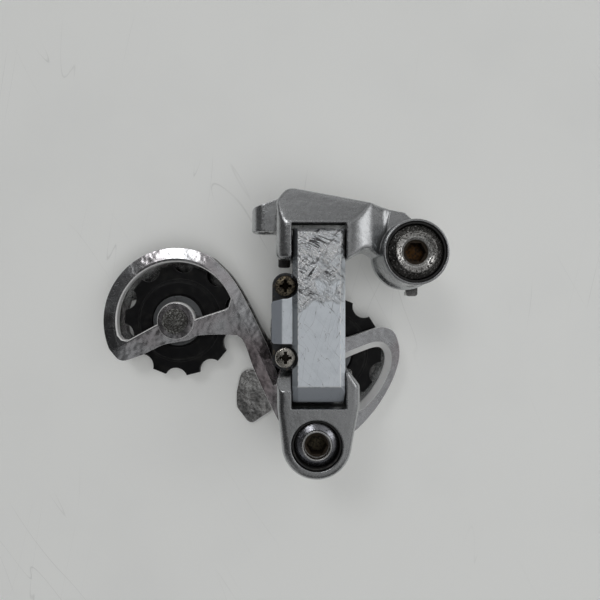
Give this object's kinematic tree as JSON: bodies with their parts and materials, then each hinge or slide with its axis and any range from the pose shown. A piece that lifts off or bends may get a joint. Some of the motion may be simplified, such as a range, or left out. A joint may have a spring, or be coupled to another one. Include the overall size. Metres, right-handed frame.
{
  "type": "rear derailleur",
  "caption": "Rear bicycle derailleur with a sprung slant-parallelogram linkage, a bracket round one mounting bolt, and a two-pulley chain cage with a D-shaped window and a side loop.",
  "frame": {"origin": "centre of the mounting bolt's flat threaded end; the face that meets the dropout hanger is 10 mm further along +Z", "axes": "+Z along the mounting bolt, out of the bike; +Y from the lower knuckle towards the bracket, along the parallelogram; +X from the parallelogram towards the mounting bolt"},
  "size_m": [0.1251, 0.0965, 0.0396],
  "materials": {
    "satin_alloy": "satin cast alloy, lightly oxidised",
    "polished_alloy": "polished alloy",
    "plated_steel": "bright plating with fine pits",
    "worn_steel": "plated steel, tarnished, brown in the sockets",
    "spring_steel": "drawn spring wire",
    "pulley_plastic": "moulded black plastic",
    "seal_rubber": "black rubber",
    "bronze": "sintered bearing bronze"
  },
  "bodies": {
    "mount": {"mounting_bolt": "worn_steel", "hanger_stop_plate": "plated_steel"},
    "bracket": {"bracket_body": "satin_alloy", "bracket_spring": "spring_steel", "bracket_bushing": "bronze", "bracket_seal_ring": "seal_rubber", "upper_outer_pin": "plated_steel", "upper_inner_pin": "plated_steel", "limit_stop_dowel": "seal_rubber", "cable_adjuster_barrel": "plated_steel", "return_spring": "spring_steel"},
    "outer_arm": {"outer_link": "satin_alloy", "high_limit_screw": "worn_steel", "low_limit_screw": "worn_steel"},
    "inner_arm": {"inner_link": "satin_alloy", "cable_anchor_bolt": "worn_steel", "cable_anchor_washer": "plated_steel"},
    "knuckle": {"knuckle_body": "satin_alloy", "knuckle_spring": "spring_steel", "knuckle_seal_ring": "seal_rubber", "lower_outer_pin": "plated_steel", "lower_inner_pin": "plated_steel", "cage_axle_bushing": "bronze"},
    "cage": {"cage_outer_plate": "polished_alloy", "cage_inner_plate": "plated_steel", "cage_stop_pin": "plated_steel", "cage_axle_bolt": "worn_steel", "guide_pulley_bolt": "worn_steel", "guide_pulley_bushing": "bronze", "guide_cap_outer": "plated_steel", "guide_cap_inner": "plated_steel", "tension_pulley_bolt": "worn_steel", "tension_pulley_bushing": "bronze", "tension_cap_outer": "plated_steel", "tension_cap_inner": "plated_steel"},
    "guide_wheel": {"guide_pulley": "pulley_plastic"},
    "tension_wheel": {"tension_pulley": "pulley_plastic"}
  },
  "joints": [
    {"name": "bracket_swing", "type": "hinge", "parent": "mount", "child": "bracket", "pos_m": [0, 0, 0.01], "axis": [0, 0, 1], "range_deg": [0, 45], "stiffness_Nm_per_rad": 0.02, "springref_deg": -68.75},
    {"name": "outer_link_swing", "type": "hinge", "parent": "bracket", "child": "outer_arm", "pos_m": [-0.03155, 0.0025, 0.0245], "axis": [1, 0, 0], "range_deg": [0, 36], "stiffness_Nm_per_rad": 0.12, "springref_deg": -57.3},
    {"name": "inner_link_swing", "type": "hinge", "parent": "bracket", "child": "inner_arm", "pos_m": [-0.03155, 0.005, 0.0115], "axis": [1, 0, 0], "range_deg": [0, 36]},
    {"name": "knuckle_swing", "type": "hinge", "parent": "outer_arm", "child": "knuckle", "pos_m": [-0.03155, -0.0455, 0.0245], "axis": [1, 0, 0], "range_deg": [-36, 0]},
    {"name": "cage_swing", "type": "hinge", "parent": "knuckle", "child": "cage", "pos_m": [-0.0322, -0.0632, 0.01], "axis": [0, 0, 1], "range_deg": [0, 100], "stiffness_Nm_per_rad": 0.02, "springref_deg": -68.75},
    {"name": "guide_pulley_spin", "type": "hinge", "parent": "cage", "child": "guide_wheel", "pos_m": [-0.0274, -0.036, -0.002], "axis": [0, 0, 1], "continuous": true},
    {"name": "tension_pulley_spin", "type": "hinge", "parent": "cage", "child": "tension_wheel", "pos_m": [-0.0851, -0.0236, -0.002], "axis": [0, 0, 1], "continuous": true}
  ],
  "couplings": [
    {"joint": "inner_link_swing", "follows": "outer_link_swing", "ratio": 1},
    {"joint": "knuckle_swing", "follows": "outer_link_swing", "ratio": -1}
  ]
}
